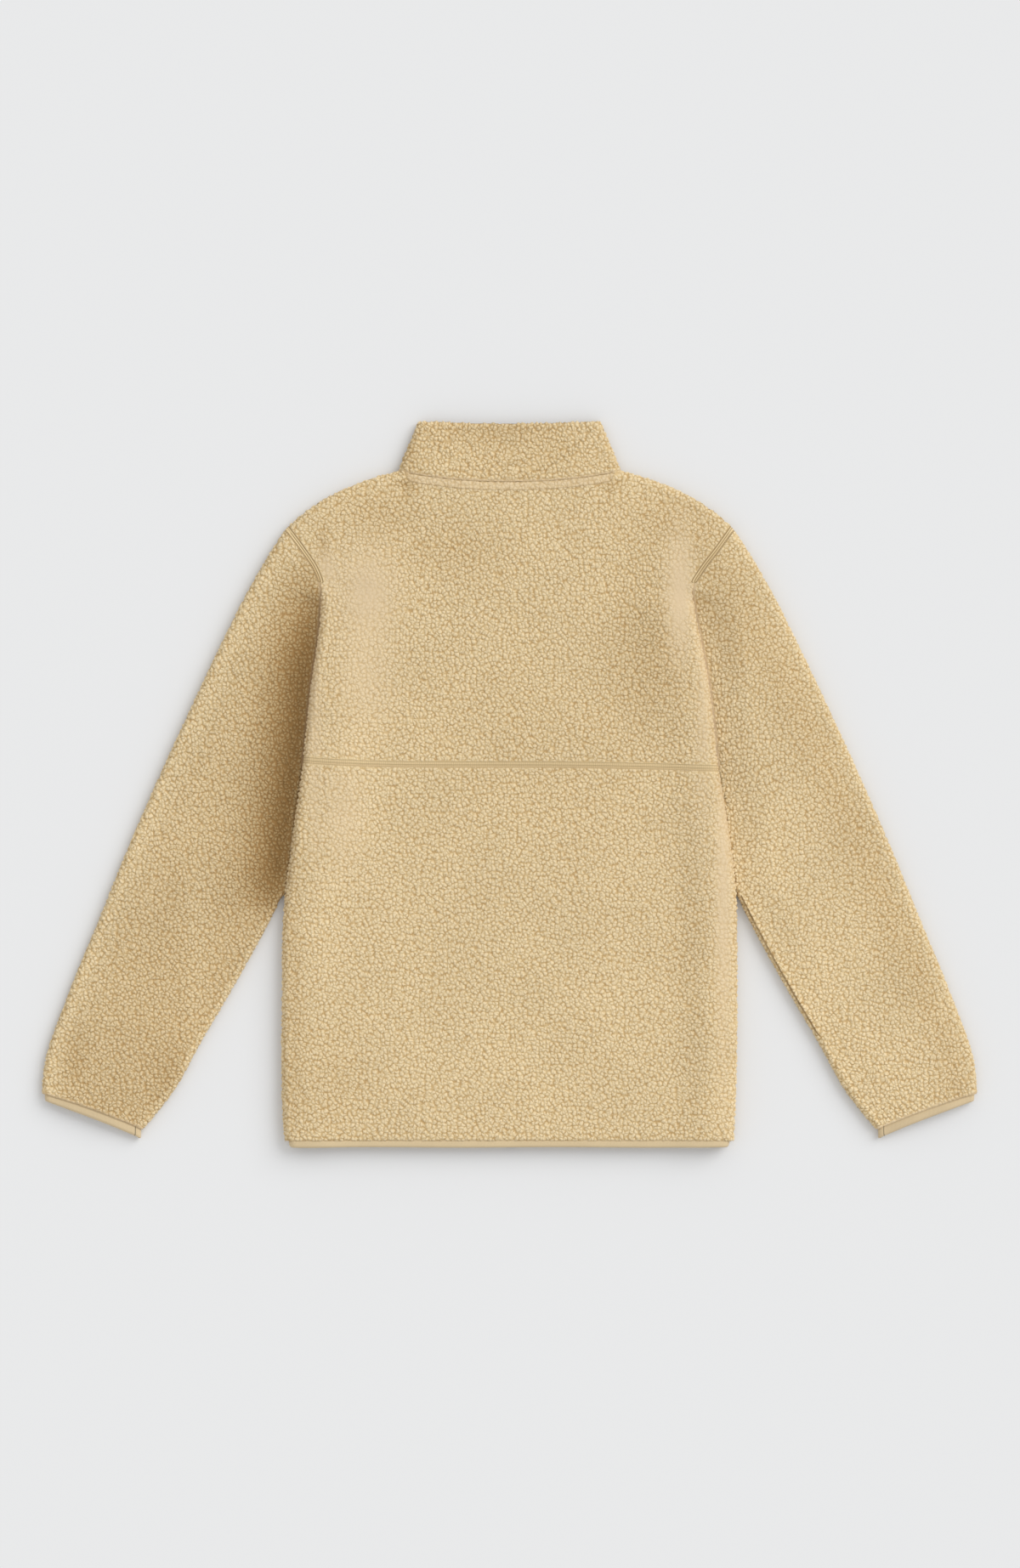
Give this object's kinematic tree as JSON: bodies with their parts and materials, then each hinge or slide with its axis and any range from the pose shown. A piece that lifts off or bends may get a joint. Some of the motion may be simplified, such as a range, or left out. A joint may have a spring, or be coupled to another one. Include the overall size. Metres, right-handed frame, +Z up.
{
  "type": "fleece jacket",
  "caption": "Sherpa fleece jacket with a stand collar, full-length zip and bound hem and cuffs, laid flat face down with its sleeves beside the body.",
  "frame": {"origin": "on the surface the jacket lies on, under the middle of its outline", "axes": "+Z up, away from the surface, out of the jacket's back; +Y towards the collar; +X towards the wearer's right sleeve"},
  "size_m": [0.9884, 0.768, 0.0209],
  "materials": {
    "fleece": "sherpa pile of small curled tufts",
    "binding": "smooth stretch knit",
    "tape": "woven tape",
    "coil": "nylon coil",
    "metal": "satin metal"
  },
  "bodies": {
    "jacket": {"back_upper": "fleece", "back_lower": "fleece", "front_left": "fleece", "front_right": "fleece", "sleeve_left": "fleece", "sleeve_right": "fleece", "collar": "fleece", "hem_binding": "binding", "cuff_binding_left": "binding", "cuff_binding_right": "binding", "zip_tape_left": "tape", "zip_tape_right": "tape", "zip_chain": "coil", "zip_slider": "metal", "zip_top_stop_left": "metal", "zip_top_stop_right": "metal", "zip_box": "metal"},
    "pull_tab": {"zip_pull_tab": "metal"}
  },
  "joints": [
    {"name": "pull_tab_hinge", "type": "hinge", "parent": "jacket", "child": "pull_tab", "pos_m": [0, 0.3146, 0.0015], "axis": [1, 0, 0], "range_deg": [0, 180]}
  ]
}
